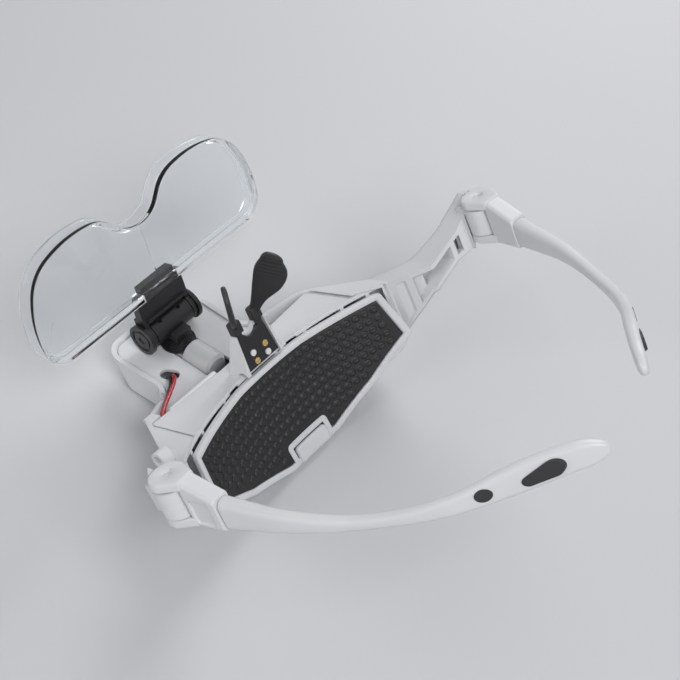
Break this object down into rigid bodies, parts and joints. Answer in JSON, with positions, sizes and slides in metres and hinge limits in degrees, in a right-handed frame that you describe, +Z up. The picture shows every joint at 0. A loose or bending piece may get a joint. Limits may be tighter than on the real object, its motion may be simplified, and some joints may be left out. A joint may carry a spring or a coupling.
{
  "type": "lighted magnifier glasses",
  "caption": "Lighted magnifier glasses: a clear lobed lens flips on a lamp barrel ahead of a white frame with folding arms, a foam-padded battery cover and flexible nose pads.",
  "frame": {"origin": "on the table, at the middle of the sloped flat top that the glasses lie on, under the middle of the frame", "axes": "+Z up from the table, so towards the nose; +Y towards the wearer's head and the arm tips; +X across, the side that the leads run on"},
  "size_m": [0.1728, 0.2162, 0.1281],
  "materials": {
    "white_plastic": "satin, lightly grained",
    "bracket_plastic": "satin black",
    "plate_plastic": "glossy black",
    "tube_plastic": "satin, light grey",
    "foam": "matt closed-cell foam",
    "pad_rubber": "soft matt black",
    "insert_rubber": "matt charcoal",
    "brass": "bright",
    "white_pin": "glossy white",
    "steel": "plain",
    "cell_wrap": "satin wrap",
    "clear_plastic": "polished, clear",
    "lamp_plastic": "clear, domed",
    "red_lead": "satin insulation",
    "black_lead": "satin insulation"
  },
  "bodies": {
    "frame": {"outer_shell": "white_plastic", "inner_frame": "white_plastic", "switch_body": "bracket_plastic", "cell_far": "cell_wrap", "cell_near": "cell_wrap", "cell_lower": "cell_wrap", "contact_far": "steel", "contact_near": "steel", "contact_lower_far": "steel", "contact_lower_near": "steel", "nose_plate": "plate_plastic", "nose_pin_near": "white_pin", "nose_pin_far": "white_pin", "nose_screw_near": "brass", "nose_screw_far": "brass", "nose_pad_near": "pad_rubber", "nose_pad_far": "pad_rubber", "support_tube": "tube_plastic", "near_hinge_pin": "steel", "far_hinge_pin": "steel", "lead_red": "red_lead", "lead_black": "black_lead"},
    "lamp_unit": {"swivel_base": "bracket_plastic", "lamp_barrel": "bracket_plastic", "led_near": "lamp_plastic", "led_far": "lamp_plastic"},
    "lens_unit": {"lens_clip": "bracket_plastic", "pivot_cap_near": "bracket_plastic", "pivot_cap_far": "bracket_plastic", "magnifier_lens": "clear_plastic"},
    "near_arm": {"near_arm_root": "white_plastic", "near_temple_arm": "white_plastic", "near_grip_dot": "insert_rubber", "near_grip_drop": "insert_rubber"},
    "far_arm": {"far_arm_root": "white_plastic", "far_temple_arm": "white_plastic", "far_grip_dot": "insert_rubber", "far_grip_drop": "insert_rubber"},
    "cover": {"battery_cover": "white_plastic", "cover_latch": "white_plastic", "foam_pad": "foam"},
    "switch": {"power_switch": "bracket_plastic"}
  },
  "joints": [
    {"name": "near_arm_fold", "type": "hinge", "parent": "frame", "child": "near_arm", "pos_m": [0.08, 0.05483, 0.06807], "axis": [0, -0.454, 0.891], "range_deg": [-24, 8]},
    {"name": "far_arm_fold", "type": "hinge", "parent": "frame", "child": "far_arm", "pos_m": [-0.08, 0.05483, 0.06807], "axis": [0, 0.454, -0.891], "range_deg": [-32, 54]},
    {"name": "lamp_turn", "type": "hinge", "parent": "frame", "child": "lamp_unit", "pos_m": [0, -0.0277, 0.012], "axis": [0, 0, 1], "range_deg": [-20, 20]},
    {"name": "lens_flip", "type": "hinge", "parent": "lamp_unit", "child": "lens_unit", "pos_m": [0, -0.033, 0.0194], "axis": [1, 0, 0], "range_deg": [-25, 70]},
    {"name": "cover_swing", "type": "hinge", "parent": "frame", "child": "cover", "pos_m": [0, 0.01676, 0.02863], "axis": [1, 0, 0], "range_deg": [0, 20]},
    {"name": "switch_slide", "type": "slide", "parent": "frame", "child": "switch", "axis": [1, 0, 0], "range_m": [-0.0015, 0.0015]}
  ]
}
